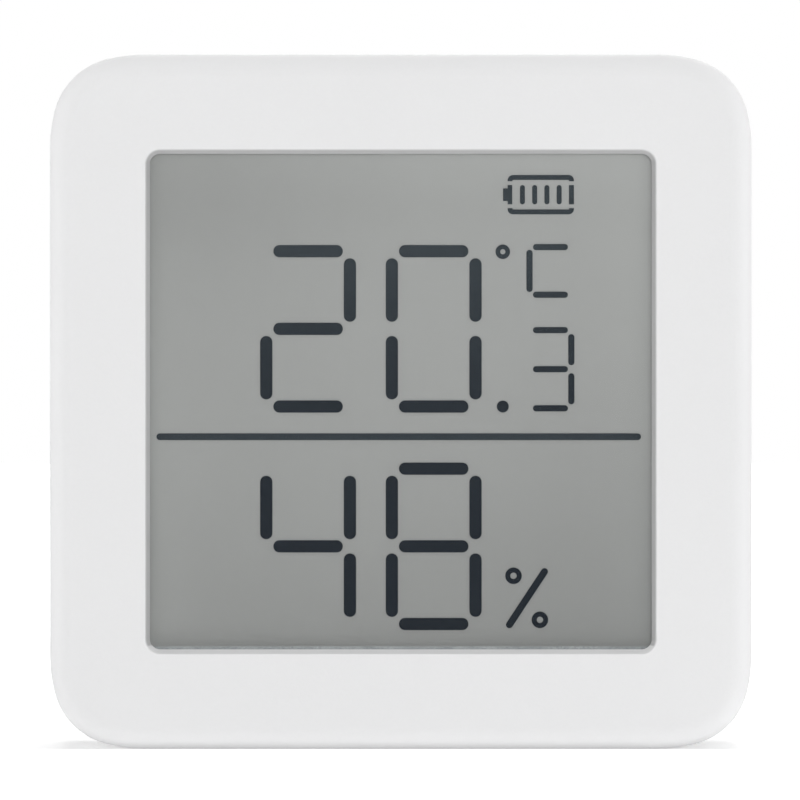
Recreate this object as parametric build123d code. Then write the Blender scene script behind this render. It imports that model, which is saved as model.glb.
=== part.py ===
"""Temperature and humidity sensor with a segment display, a stand leg and two AAA cells.

All sizes are in millimetres. The front faces -Y, +X is to the right as seen from the front and +Z is up.
The origin is the middle of the base. A place along Y is a depth: front is the lower value, back the higher.
"""

import os
from math import cos, degrees, atan2, hypot, pi, radians, sin

from build123d import *

# Casing
corner_radius = 5.6
corner_ease_radius = 12.0
corner_ease_angle = 14.0
front_edge_radius = 1.8
rear_edge_radius = 2.5
shell_wall = 1.6
front_wall = 1.6
cover_depth = 6.5
cover_wall = 1.4
seam_bevel = 0.25
rim_wall = 0.85
tongue_length = 2.2
tongue_clearance = 0.15
pry_notch_width = 11.0
pry_notch_depth = 0.7
pry_notch_length = 1.5
overrun = 1.0

# Window in the front wall
bezel_side = 7.5
bezel_end = 7.45
window_corner_radius = 1.15
window_slope = 0.35
window_edge_round = 0.12
lip_thickness = 1.0

# Display cell and what holds it
gasket_thickness = 0.3
gasket_setback = 0.05
polarizer_thickness = 0.2
polarizer_overlap = 0.55
glass_thickness = 0.7
glass_overlap = 0.65
rear_glass_bottom_overlap = 0.4
contact_ledge = 1.8
cell_gap = 0.05
seal_width = 0.5
seal_inset = 0.1
reflector_thickness = 0.25
reflector_inset = 0.2
holder_wall = 1.6
holder_floor = 1.0
holder_rear_gap = 0.8
holder_clearance = 0.2
contact_strip_length = 31.0
contact_strip_clearance = 0.15

# Digits and signs of the display, as shares of the window's width
digit_half_width_share = 0.082
digit_pitch_share = 0.24625
tens_centre_share = -0.18175
level_segment_share = 0.13625
segment_width_share = 0.024
small_digit_x_share = 0.2934
small_half_width_share = 0.041
small_level_share = 0.0685
small_segment_width_share = 0.0121
sign_x_share = 0.2
degree_ring_radius_share = 0.01425
degree_hole_radius_share = 0.005
point_radius_share = 0.01175
divider_x_share = -0.004
divider_length_share = 0.95
divider_width_share = 0.01325
percent_ring_radius_share = 0.01625
percent_hole_radius_share = 0.00625
percent_bar_width_share = 0.01375
percent_ring_x_shares = (0.221, 0.27275)
percent_bar_x_shares = (0.213, 0.28175)
gauge_x_share = 0.2745
gauge_width_share = 0.13
gauge_line_share = 0.0096
gauge_corner_share = 0.0105
gauge_nub_width_share = 0.018
gauge_bar_pitch_share = 0.024
gauge_bar_width_share = 0.0098
gauge_bar_count = 4

# Heights of the digits and signs from the window's middle, as shares of the window's height
upper_row_share = 0.1444
lower_row_share = -0.2874
digit_half_height_share = 0.1542
upright_segment_share = 0.126
small_digit_share = 0.0643
small_half_height_share = 0.0776
small_upright_share = 0.0616
unit_letter_share = 0.2595
unit_letter_half_height_share = 0.0473
unit_letter_upright_share = 0.0835
degree_ring_share = 0.2975
divider_share = -0.0698
percent_ring_shares = (-0.3459, -0.4333)
percent_bar_shares = (-0.443, -0.3376)
gauge_share = 0.4108
gauge_tall_share = 0.0781
gauge_side_gap_share = 0.0076
gauge_nub_step_share = 0.0066
gauge_bar_tall_share = 0.0382

# Circuit board and its parts
board_thickness = 1.0
board_edge_gap = 0.6
board_notch = 2.6
component_space = 1.5
radio_chip_size = 6.0
radio_chip_thickness = 0.85
driver_chip_size = 7.0
driver_chip_thickness = 1.0
chip_lead_length = 1.0
chip_lead_width = 0.3
chip_lead_pitch = 0.8
chip_lead_count = 8
chip_lead_thickness = 0.15
crystal_length = 3.2
crystal_width = 2.5
crystal_thickness = 0.7
passive_length = 1.6
passive_width = 0.8
passive_thickness = 0.5
antenna_copper = 0.05
antenna_line = 0.6
antenna_pitch = 2.0
antenna_turns = 8
antenna_tall = 3.4
sensor_size = 2.5
sensor_thickness = 0.9
sensor_port_radius = 0.5
sensor_port_depth = 0.3
sensor_edge_distance = 3.2
foam_wall = 0.9
foam_margin = 0.6
air_slot_width = 0.8

# Screws, bosses and posts
boss_inset = 4.3
boss_radius = 2.1
case_screw_radius = 0.85
case_screw_length = 5.0
case_head_radius = 1.6
case_head_height = 1.1
post_radius = 1.6
post_side_inset = 3.3
post_boss_spacing = 5.7
board_screw_radius = 0.6
board_screw_length = 3.4
board_head_radius = 1.25
board_head_height = 0.9
screw_hole_clearance = 0.15
drive_width = 0.3
drive_depth = 0.5
boss_end_gap = 0.6

# Side vents
vent_count = 5
vent_width = 1.2
vent_length = 8.0
vent_pitch = 2.6
vent_front_distance = 3.6

# Battery chassis and cells
chassis_edge_gap = 0.4
chassis_floor = 1.0
cell_length = 44.5
cell_radius = 5.25
jacket_thickness = 0.15
nub_length = 1.0
nub_radius = 1.9
can_edge_round = 0.5
cell_floor_gap = 0.15
cell_side_gap = 0.35
cell_row_gap = 0.7
cell_back_gap = 1.45
bay_bottom = 8.4
bay_end_gap = 1.0
bay_wall = 1.1
bay_end_wall = 1.1
bay_side_height = 7.6
bay_end_height = 9.5
divider_rib = 1.0
divider_rib_height = 2.9
contact_thickness = 0.3
contact_width = 8.0
contact_end_gap = 0.4
contact_tail_width = 2.0
contact_slot_gap = 0.1
spring_length = 2.5
spring_wire = 0.5
spring_seat_radius = 3.4
spring_tip_radius = 1.6
spring_quarter_turns = 10

# Push switch and unit button
button_bay_inset = 8.8
button_keyhole_rise = 0.4
switch_size = 5.2
switch_body_height = 1.4
plunger_radius = 1.0
plunger_stand = 0.55
plunger_length = 1.2
button_travel = 0.5
button_stem_radius = 2.0
button_fit_clearance = 0.05
button_collar_radius = 2.5
button_collar_height = 0.6
button_cap_radius = 3.4
button_cap_height = 1.8
button_cap_round = 0.5
button_recess = 0.3
button_hole_clearance = 0.35
button_touch_gap = 0.02
guide_wall = 1.0
guide_height = 7.5
collar_clearance = 0.25
hole_skirt_wall = 0.9
hole_skirt_length = 1.8

# Stand leg and its recess in the cover
recess_width = 22.0
recess_depth = 2.0
recess_wall = 1.6
recess_floor_wall = 1.4
leg_thickness = 1.9
leg_side_gap = 0.25
leg_end_gap = 0.3
leg_length = 33.0
leg_tip_height = 3.0
leg_corner_radius = 3.0
leg_skin = 0.9
leg_rib = 1.1
leg_rib_count = 2
leg_window_corner = 0.6
trunnion_radius = 0.7
trunnion_clearance = 0.05
trunnion_length = 1.1
trunnion_end_gap = 0.1
grip_count = 3
grip_width = 0.7
grip_depth = 0.3
grip_pitch = 1.6
grip_tip_distance = 3.4
grip_length = 12.0

# Keyhole for a wall screw
keyhole_entry_radius = 3.25
keyhole_neck_radius = 1.6
keyhole_drop = 5.0
keyhole_recess_gap = 0.7
keyhole_top_gap = 1.6
keyhole_room_margin = 0.8
keyhole_room_depth = 3.2
keyhole_room_wall = 1.0

# Overall sizes that follow from what the casing holds
cell_stack_depth = 2 * glass_thickness + cell_gap + reflector_thickness + polarizer_thickness
display_depth = lip_thickness + gasket_thickness + cell_stack_depth + holder_floor + holder_rear_gap
chassis_depth = board_thickness + component_space + chassis_floor + cell_floor_gap + 2 * cell_radius
body_depth = display_depth + chassis_depth + cell_back_gap + recess_floor_wall + recess_depth
bay_half = (cell_length + spring_length) / 2 + contact_thickness
body_width = 2 * (bay_half + bay_end_wall + bay_end_gap + shell_wall)
hinge_height = leg_tip_height + leg_length
recess_top = hinge_height + leg_thickness / 2 + leg_end_gap
keyhole_room_bottom = recess_top + recess_wall + keyhole_recess_gap
keyhole_entry_height = keyhole_room_bottom + keyhole_room_margin + keyhole_entry_radius
keyhole_top = keyhole_entry_height + keyhole_drop + keyhole_neck_radius
body_height = keyhole_top + keyhole_room_wall + keyhole_top_gap + shell_wall
button_height = keyhole_entry_height + button_keyhole_rise
button_x = bay_half - button_bay_inset
window_width = body_width - 2 * bezel_side
window_height = body_height - 2 * bezel_end

# Depths that follow, from the front to the back
front_face = -body_depth / 2
back_face = body_depth / 2
seam = back_face - cover_depth
lip_back = front_face + lip_thickness
wall_back = front_face + front_wall
gasket_back = lip_back + gasket_thickness
polarizer_back = gasket_back + polarizer_thickness
front_glass_back = polarizer_back + glass_thickness
rear_glass_front = front_glass_back + cell_gap
rear_glass_back = rear_glass_front + glass_thickness
reflector_back = rear_glass_back + reflector_thickness
holder_floor_back = reflector_back + holder_floor
board_front = holder_floor_back + holder_rear_gap
board_back = board_front + board_thickness
chassis_front = board_back + component_space
chassis_back = chassis_front + chassis_floor
cell_depth = chassis_back + cell_floor_gap + cell_radius
switch_top = board_back + switch_body_height
plunger_top = switch_top + plunger_stand
cover_inside = back_face - cover_wall
recess_floor = back_face - recess_depth

# Places that follow, seen from the front
middle_height = body_height / 2
inner_opening_half = window_width / 2 - window_slope
inner_opening_top = middle_height + window_height / 2 - window_slope
inner_opening_bottom = middle_height - window_height / 2 + window_slope
glass_half = inner_opening_half + glass_overlap
glass_top = inner_opening_top + glass_overlap
rear_glass_bottom = inner_opening_bottom - rear_glass_bottom_overlap
front_glass_bottom = rear_glass_bottom - contact_ledge
lower_cell_height = bay_bottom + cell_side_gap + cell_radius
upper_cell_height = lower_cell_height + 2 * cell_radius + cell_row_gap
bay_top = upper_cell_height + cell_radius + cell_side_gap
hinge_depth = recess_floor + recess_depth / 2
post_rise = middle_height - boss_inset - post_boss_spacing
boss_places = [
    (side * (body_width / 2 - boss_inset), height)
    for side in (-1, 1)
    for height in (boss_inset, body_height - boss_inset)
]
post_places = [
    (side * (body_width / 2 - post_side_inset), middle_height + end * post_rise)
    for side in (-1, 1)
    for end in (-1, 1)
]
sensor_x = body_width / 2 - shell_wall - board_edge_gap - sensor_edge_distance

# Each segment's centre, as shares of a digit's half width and half height, and whether it lies level
segment_place_shares = {
    "a": (0, 1, True),
    "b": (1, 0.5, False),
    "c": (1, -0.5, False),
    "d": (0, -1, True),
    "e": (-1, -0.5, False),
    "f": (-1, 0.5, False),
    "g": (0, 0, True),
}

# Segments that are lit for each numeral in use
lit_segments = {"0": "abcdef", "2": "abdeg", "3": "abcdg", "4": "bcfg", "8": "abcdefg"}

# Centres of the small chip resistors and capacitors, as shares of the board's half width and half height
passive_place_shares = [
    (-0.62, 0.42),
    (-0.62, 0.30),
    (-0.50, 0.42),
    (-0.50, 0.30),
    (-0.12, 0.36),
    (-0.02, 0.36),
    (0.30, 0.20),
    (0.30, 0.08),
    (0.42, -0.44),
    (0.30, -0.44),
    (-0.20, -0.56),
    (-0.32, -0.56),
]


def at_depth(depth):
    """Upright plane at a depth, with its own x to the right and its own y up, facing the front."""
    return Plane.XZ.offset(-depth)


def slab(profile, front, back):
    """Solid between two depths with a profile drawn as seen from the front."""
    return extrude(at_depth(back) * profile, amount=back - front)


def region(left, right, bottom, top, radius=0):
    """Rectangle between four limits, with rounded corners if a radius is given."""
    middle = Pos((left + right) / 2, (bottom + top) / 2)
    if radius:
        return middle * RectangleRounded(right - left, top - bottom, radius)
    return middle * Rectangle(right - left, top - bottom)


def brick(left, right, front, back, bottom, top):
    """Plain block between six limits."""
    return slab(region(left, right, bottom, top), front, back)


def peg(x, height, radius, front, back):
    """Round bar along the depth."""
    return slab(Pos(x, height) * Circle(radius), front, back)


def cross_bar(depth, height, radius, left, right):
    """Round bar along the width."""
    return extrude(Plane.YZ.offset(left) * Pos(depth, height) * Circle(radius), amount=right - left)


def group(solids):
    """Several separate solids as one shape."""
    return Compound(children=[solid for shape in solids for solid in shape.solids()])


def casing_outline(inset=0):
    """Casing seen from the front, drawn in by an inset, with corners that ease into the sides."""
    half_width = body_width / 2 - inset
    half_height = body_height / 2 - inset
    radius = corner_radius - inset
    ease = corner_ease_radius - inset
    turn = radians(corner_ease_angle)
    reach = ease - (ease - radius) * cos(turn)
    edges = []
    for corner, (side, end) in enumerate([(1, 1), (-1, 1), (-1, -1), (1, -1)]):
        start = 90 * corner
        centre = Vector(side * (half_width - reach), middle_height + end * (half_height - reach))
        sweeps = [
            (ease, start, corner_ease_angle),
            (radius, start + corner_ease_angle, 90 - 2 * corner_ease_angle),
            (ease, start + 90 - corner_ease_angle, corner_ease_angle),
        ]
        for number, (bend, begin, sweep_angle) in enumerate(sweeps):
            away = radians(start + (corner_ease_angle if number == 0 else 90 - corner_ease_angle))
            shift = bend - radius
            middle = centre - Vector(shift * cos(away), shift * sin(away))
            edges.append(CenterArc(middle, bend, begin, sweep_angle))
    sides = [Line(edges[3 * corner - 1] @ 1, edges[3 * corner] @ 0) for corner in range(4)]
    return make_face(edges + sides)


def window_outline(depth):
    """Window at a depth: its walls slope inwards from the front face to the back of the lip."""
    inset = window_slope * (depth - front_face) / lip_thickness
    half = window_width / 2 - inset
    rise = window_height / 2 - inset
    radius = window_corner_radius - inset
    return region(-half, half, middle_height - rise, middle_height + rise, radius)


def inner_opening(margin):
    """Back edge of the window's lip, widened by a margin."""
    half = inner_opening_half + margin
    return region(-half, half, inner_opening_bottom - margin, inner_opening_top + margin)


def cell_area(inset):
    """Area where the two glasses face each other, drawn in by an inset."""
    half = glass_half - inset
    return region(-half, half, rear_glass_bottom + inset, glass_top - inset)


def glass_pocket():
    """Room for the display cell behind the lip."""
    gap = holder_clearance
    half = glass_half + gap
    return region(-half, half, front_glass_bottom - gap, glass_top + gap)


def front_shell():
    """Front casing half with the window, screw bosses, board posts and side vents."""
    shell = slab(casing_outline(), front_face, seam)
    shell = fillet(shell.edges().group_by(Axis.Y)[0], front_edge_radius)
    shell = chamfer(shell.edges().group_by(Axis.Y)[-1], seam_bevel)
    shell -= slab(casing_outline(shell_wall), wall_back, seam)
    for x, height in boss_places:
        shell += peg(x, height, boss_radius, wall_back, chassis_front)
    for x, height in post_places:
        shell += peg(x, height, post_radius, wall_back, board_front)
    shell -= slab(casing_outline(rim_wall), seam - tongue_length - 2 * tongue_clearance, seam)
    for x, height in boss_places:
        shell -= peg(x, height, case_screw_radius, wall_back + boss_end_gap, chassis_front)
    for x, height in post_places:
        shell -= peg(x, height, board_screw_radius, wall_back, board_front)
    mouth = at_depth(front_face - overrun) * window_outline(front_face - overrun)
    throat = at_depth(lip_back) * window_outline(lip_back)
    shell -= loft([mouth, throat], ruled=True)
    shell -= slab(glass_pocket(), lip_back, wall_back)
    front = shell.faces().sort_by(Axis.Y)[0]
    shell = fillet(front.inner_wires()[0].edges(), window_edge_round)
    return shell - side_vents()


def side_vents():
    """Cutters for the row of slots in each side wall."""
    centre = front_face + vent_front_distance + vent_length / 2
    slot = Plane.YZ * Pos(centre, middle_height) * SlotOverall(vent_length, vent_width)
    wall = shell_wall + overrun
    cutters = []
    for number in range(vent_count):
        rise = (number - (vent_count - 1) / 2) * vent_pitch
        right = Pos(body_width / 2 - shell_wall - overrun / 2, 0, rise) * extrude(slot, amount=wall)
        cutters += [right, mirror(right, about=Plane.YZ)]
    return cutters


def display_gasket():
    """Dark foam frame between the lip and the display cell."""
    frame = inner_opening(polarizer_overlap) - inner_opening(gasket_setback)
    return slab(frame, lip_back, gasket_back)


def front_polarizer():
    """Polarizing film on the front glass."""
    return slab(inner_opening(polarizer_overlap), gasket_back, polarizer_back)


def glass(bottom, front):
    """One glass of the display cell, down to its own lower edge."""
    return slab(region(-glass_half, glass_half, bottom, glass_top), front, front + glass_thickness)


def edge_seal():
    """Thin seal between the two glasses, round their edge."""
    frame = cell_area(seal_inset) - cell_area(seal_inset + seal_width)
    return slab(frame, front_glass_back, rear_glass_front)


def reflector():
    """Rear polarizer with its reflecting film."""
    return slab(cell_area(reflector_inset), rear_glass_back, reflector_back)


def across(share):
    """Place along the width, from a share of the window's width."""
    return share * window_width


def up(share):
    """Height, from a share of the window's height above its middle."""
    return middle_height + share * window_height


def stroke(x, height, length, width, level):
    """Straight segment with round ends, lying level or standing upright."""
    return Pos(x, height) * Rot(0, 0, 0 if level else 90) * SlotOverall(length, width)


def numeral(name, x, height, half_width, half_height, width, level_length, upright_length):
    """Lit segments of one numeral."""
    strokes = []
    for letter in lit_segments[name]:
        x_share, height_share, level = segment_place_shares[letter]
        length = level_length if level else upright_length
        place = (x + x_share * half_width, height + height_share * half_height)
        strokes.append(stroke(*place, length, width, level))
    return strokes


def ring(x, height, radius, hole_radius):
    """Small disc with a hole."""
    return Pos(x, height) * (Circle(radius) - Circle(hole_radius))


def unit_letter():
    """Letter C beside the degree ring."""
    middle = across(small_digit_x_share)
    height = up(unit_letter_share)
    rise = unit_letter_half_height_share * window_height
    width = small_segment_width_share * window_width
    length = small_level_share * window_width
    left = middle - small_half_width_share * window_width
    return [
        stroke(left, height, unit_letter_upright_share * window_height, width, False),
        stroke(middle, height + rise, length, width, True),
        stroke(middle, height - rise, length, width, True),
    ]


def percent_sign():
    """Two small rings and the slanting bar between them."""
    left, right = [across(share) for share in percent_bar_x_shares]
    low, high = [up(share) for share in percent_bar_shares]
    run = right - left
    rise = high - low
    width = percent_bar_width_share * window_width
    tilt = Rot(0, 0, degrees(atan2(rise, run)))
    bar = Pos(left + run / 2, low + rise / 2) * tilt * SlotOverall(hypot(run, rise) + width, width)
    radius = percent_ring_radius_share * window_width
    hole = percent_hole_radius_share * window_width
    places = zip(percent_ring_x_shares, percent_ring_shares)
    return [bar] + [ring(across(x_share), up(share), radius, hole) for x_share, share in places]


def battery_gauge():
    """Battery sign: an open frame, its nub on the left and the level bars inside."""
    middle = across(gauge_x_share)
    height = up(gauge_share)
    half = gauge_width_share * window_width / 2
    rise = gauge_tall_share * window_height / 2
    line = gauge_line_share * window_width
    bar_width = gauge_bar_width_share * window_width
    bar_tall = gauge_bar_tall_share * window_height
    left, right = middle - half, middle + half
    frame = region(left, right, height - rise, height + rise, gauge_corner_share * window_width)
    frame -= region(left + line, right - line, height - rise + line, height + rise - line)
    gap = bar_tall / 2 + gauge_side_gap_share * window_height
    frame -= region(left - overrun, right + overrun, height - gap, height + gap)
    nub_half = gauge_nub_width_share * window_width / 2
    low = bar_tall / 2 - gauge_nub_step_share * window_height
    nub = region(left, left + nub_half, height - bar_tall / 2, height + bar_tall / 2)
    nub += region(left - nub_half, left, height - low, height + low)
    end_bar = region(right - bar_width, right, height - bar_tall / 2, height + bar_tall / 2)
    signs = [frame, nub, end_bar]
    for number in range(gauge_bar_count):
        step = number - (gauge_bar_count - 1) / 2
        x = middle + step * gauge_bar_pitch_share * window_width
        signs.append(stroke(x, height, bar_tall, bar_width, False))
    return signs


def display_segments():
    """All lit segments, filling the gap between the glasses."""
    big = (
        digit_half_width_share * window_width,
        digit_half_height_share * window_height,
        segment_width_share * window_width,
        level_segment_share * window_width,
        upright_segment_share * window_height,
    )
    small = (
        small_half_width_share * window_width,
        small_half_height_share * window_height,
        small_segment_width_share * window_width,
        small_level_share * window_width,
        small_upright_share * window_height,
    )
    signs = []
    for row_share, numerals in ((upper_row_share, "20"), (lower_row_share, "48")):
        for place, name in enumerate(numerals):
            x = across(tens_centre_share + place * digit_pitch_share)
            signs += numeral(name, x, up(row_share), *big)
    signs += numeral("3", across(small_digit_x_share), up(small_digit_share), *small)
    signs += unit_letter() + percent_sign() + battery_gauge()
    sign_x = across(sign_x_share)
    degree_sizes = (degree_ring_radius_share * window_width, degree_hole_radius_share * window_width)
    signs.append(ring(sign_x, up(degree_ring_share), *degree_sizes))
    point = Circle(point_radius_share * window_width)
    signs.append(Pos(sign_x, up(upper_row_share - digit_half_height_share)) * point)
    divider_size = (divider_length_share * window_width, divider_width_share * window_width)
    signs.append(stroke(across(divider_x_share), up(divider_share), *divider_size, True))
    return group([slab(sign, front_glass_back, rear_glass_front) for sign in signs])


def display_holder():
    """Frame that holds the display cell between the front wall and the board."""
    wall = holder_clearance + holder_wall
    half = glass_half + wall
    outline = region(-half, half, front_glass_bottom - wall, glass_top + wall)
    holder = slab(outline, wall_back, board_front)
    holder -= slab(glass_pocket(), wall_back, reflector_back)
    holder -= slab(glass_pocket(), holder_floor_back, board_front)
    gap = contact_strip_clearance
    half_strip = contact_strip_length / 2 + gap
    slot = region(-half_strip, half_strip, front_glass_bottom, front_glass_bottom + contact_ledge)
    holder -= slab(slot, reflector_back, holder_floor_back)
    for x, height in boss_places:
        holder -= peg(x, height, boss_radius + holder_clearance, wall_back, board_front)
    return holder


def contact_strip():
    """Elastomer strip from the glass ledge to the board."""
    gap = contact_strip_clearance
    half = contact_strip_length / 2
    bottom = front_glass_bottom + gap
    return brick(-half, half, front_glass_back, board_front, bottom, bottom + contact_ledge - 2 * gap)


def board_outline():
    """Circuit board: the casing's shape with a notch at each screw boss."""
    outline = casing_outline(shell_wall + board_edge_gap)
    for x, height in boss_places:
        outline -= Pos(x, height) * Rectangle(2 * board_notch, 2 * board_notch)
        corner = Pos(x + (board_notch if x > 0 else -board_notch), height)
        outline -= corner * Rectangle(2 * board_notch, 2 * board_notch)
        over = board_notch if height > middle_height else -board_notch
        outline -= Pos(x, height + over) * Rectangle(2 * board_notch, 2 * board_notch)
    return outline


def main_board():
    """Circuit board with screw holes and the air slots beside the sensor chip."""
    board = slab(board_outline(), board_front, board_back)
    for x, height in post_places:
        board -= peg(x, height, board_screw_radius + screw_hole_clearance, board_front, board_back)
    reach = sensor_size / 2 + foam_margin + foam_wall + air_slot_width
    slot = SlotOverall(sensor_size + foam_wall, air_slot_width)
    for end in (-1, 1):
        board -= slab(Pos(sensor_x, middle_height + end * reach) * slot, board_front, board_back)
    return board


def antenna():
    """Printed antenna: one copper line in square turns along the upper edge of the board."""
    left = -antenna_turns * antenna_pitch / 2
    top = body_height - shell_wall - 2 * board_edge_gap
    bottom = top - antenna_tall
    line = antenna_line
    track = None
    for number in range(antenna_turns + 1):
        x = left + number * antenna_pitch
        upright = region(x - line / 2, x + line / 2, bottom, top)
        track = upright if track is None else track + upright
        if number < antenna_turns:
            edge = top - line if number % 2 else bottom
            track += region(x, x + antenna_pitch, edge, edge + line)
    return slab(track, board_back, board_back + antenna_copper)


def board_half():
    """Half width and half height of the board."""
    inset = shell_wall + board_edge_gap
    return body_width / 2 - inset, body_height / 2 - inset


def radio_chip():
    """Flat square radio chip."""
    half_width, half_height = board_half()
    size = radio_chip_size
    place = Pos(-0.3 * half_width, 0.62 * half_height + middle_height)
    chip = RectangleRounded(size, size, size / 20)
    return slab(place * chip, board_back, board_back + radio_chip_thickness)


def driver_chip():
    """Display driver chip with leads on two sides."""
    half_width, half_height = board_half()
    x = 0.02 * half_width
    height = middle_height - 0.12 * half_height
    half = driver_chip_size / 2
    lift = chip_lead_thickness
    top = board_back + driver_chip_thickness
    chip = brick(x - half, x + half, board_back + lift, top, height - half, height + half)
    for number in range(chip_lead_count):
        rise = (number - (chip_lead_count - 1) / 2) * chip_lead_pitch
        row = height + rise
        reach = half + chip_lead_length
        thin = chip_lead_width / 2
        chip += brick(x - reach, x + reach, board_back, board_back + 2 * lift, row - thin, row + thin)
    return chip


def crystal():
    """Small metal-lidded crystal."""
    half_width, half_height = board_half()
    place = Pos(-0.07 * half_width, middle_height + 0.62 * half_height)
    can = RectangleRounded(crystal_length, crystal_width, crystal_width / 8)
    return slab(place * can, board_back, board_back + crystal_thickness)


def board_passives():
    """Chip resistors and capacitors."""
    half_width, half_height = board_half()
    parts = []
    for x_share, height_share in passive_place_shares:
        place = Pos(x_share * half_width, middle_height + height_share * half_height)
        chip = place * Rectangle(passive_length, passive_width)
        parts.append(slab(chip, board_back, board_back + passive_thickness))
    return group(parts)


def humidity_sensor():
    """Sensor chip with its open port."""
    top = board_back + sensor_thickness
    body = slab(Pos(sensor_x, middle_height) * Rectangle(sensor_size, sensor_size), board_back, top)
    return body - peg(sensor_x, middle_height, sensor_port_radius, top - sensor_port_depth, top)


def sensor_foam():
    """Foam wall round the sensor chip on three sides, open towards the vents."""
    room = sensor_size / 2 + foam_margin
    wall = room + foam_wall
    right = sensor_x + room
    outside = region(sensor_x - wall, right, middle_height - wall, middle_height + wall)
    inside = region(sensor_x - room, right, middle_height - room, middle_height + room)
    return slab(outside - inside, board_back, chassis_front)


def screw(x, height, seat, radius, length, head_radius, head_height):
    """Screw with a cross drive, its head's underside at the seat and its shank towards the front."""
    head = peg(x, height, head_radius, seat, seat + head_height)
    head = chamfer(head.edges().group_by(Axis.Y)[-1], head_height / 4)
    whole = head + peg(x, height, radius, seat - length, seat)
    across = head_radius
    top = seat + head_height
    drive = Rectangle(across, drive_width) + Rectangle(drive_width, across)
    return whole - slab(Pos(x, height) * drive, top - drive_depth, top)


def case_screws():
    """Screws that hold the chassis to the corner bosses."""
    sizes = (case_screw_radius, case_screw_length, case_head_radius, case_head_height)
    return group([screw(x, height, chassis_back, *sizes) for x, height in boss_places])


def board_screws():
    """Screws that hold the board to the side posts."""
    sizes = (board_screw_radius, board_screw_length, board_head_radius, board_head_height)
    return group([screw(x, height, board_back, *sizes) for x, height in post_places])


def battery_chassis():
    """Inner frame: floor over the board, bay for the two cells and guide for the unit button."""
    chassis = slab(casing_outline(shell_wall + chassis_edge_gap), chassis_front, chassis_back)
    side_top = chassis_back + bay_side_height
    end_top = chassis_back + bay_end_height
    reach = bay_half + bay_end_wall
    for low in (bay_bottom - bay_wall, bay_top):
        chassis += brick(-reach, reach, chassis_back, side_top, low, low + bay_wall)
    for left in (-reach, bay_half):
        right = left + bay_end_wall
        chassis += brick(left, right, chassis_back, end_top, bay_bottom - bay_wall, bay_top + bay_wall)
    rib_middle = (lower_cell_height + upper_cell_height) / 2
    rib_reach = bay_half - contact_width / 2
    rib_low = rib_middle - divider_rib / 2
    rib_top = chassis_back + divider_rib_height
    chassis += brick(-rib_reach, rib_reach, chassis_back, rib_top, rib_low, rib_low + divider_rib)
    for x, height in boss_places:
        chassis -= peg(x, height, case_screw_radius + screw_hole_clearance, chassis_front, chassis_back)
    for side in (-1, 1):
        for height in (lower_cell_height, upper_cell_height):
            chassis -= tail_slot(side, height)
    collar_room = button_collar_radius + collar_clearance
    guide_radius = collar_room + guide_wall
    guide_top = chassis_back + guide_height
    chassis += peg(button_x, button_height, guide_radius, chassis_front, guide_top)
    collar_top = plunger_top + button_collar_height + 2 * button_touch_gap
    chassis -= peg(button_x, button_height, collar_room, chassis_front, collar_top)
    bore = button_stem_radius + button_fit_clearance
    return chassis - peg(button_x, button_height, bore, chassis_front, guide_top)


def tail_slot(side, height):
    """Slot in the chassis floor for a contact's tail."""
    gap = contact_slot_gap
    outer = bay_half + gap
    inner = bay_half - contact_thickness - gap
    left, right = (inner, outer) if side > 0 else (-outer, -inner)
    half = contact_tail_width / 2 + gap
    return brick(left, right, chassis_front, chassis_back, height - half, height + half)


def cell(height, nub_side):
    """AAA cell lying level, with its nub towards one side."""
    nub_tip = bay_half - contact_thickness
    shoulder = nub_tip - nub_length
    far_end = nub_tip - cell_length
    radius = cell_radius - jacket_thickness
    can = cross_bar(cell_depth, height, radius, far_end, shoulder)
    can = fillet(can.edges().filter_by(GeomType.CIRCLE), can_edge_round)
    can += cross_bar(cell_depth, height, nub_radius, shoulder, nub_tip)
    return can if nub_side > 0 else mirror(can, about=Plane.YZ)


def cell_jackets():
    """Thin plastic sleeves round the cells' cans."""
    shoulder = bay_half - contact_thickness - nub_length - can_edge_round
    far_end = shoulder + can_edge_round - cell_length + nub_length + can_edge_round
    sleeves = []
    for height, side in ((lower_cell_height, 1), (upper_cell_height, -1)):
        sleeve = cross_bar(cell_depth, height, cell_radius, far_end, shoulder)
        sleeve -= cross_bar(cell_depth, height, cell_radius - jacket_thickness, far_end, shoulder)
        sleeves.append(sleeve if side > 0 else mirror(sleeve, about=Plane.YZ))
    return group(sleeves)


def contact_plate(side, low, high, tail_heights):
    """Contact plate against an end wall of the bay, with its tails down to the board."""
    outer = bay_half
    inner = bay_half - contact_thickness
    left, right = (inner, outer) if side > 0 else (-outer, -inner)
    bottom = low - contact_width / 2
    top = high + contact_width / 2
    end = chassis_back + bay_end_height - contact_end_gap
    plate = brick(left, right, chassis_back, end, bottom, top)
    half = contact_tail_width / 2
    for height in tail_heights:
        plate += brick(left, right, board_back, chassis_back, height - half, height + half)
    return plate


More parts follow.
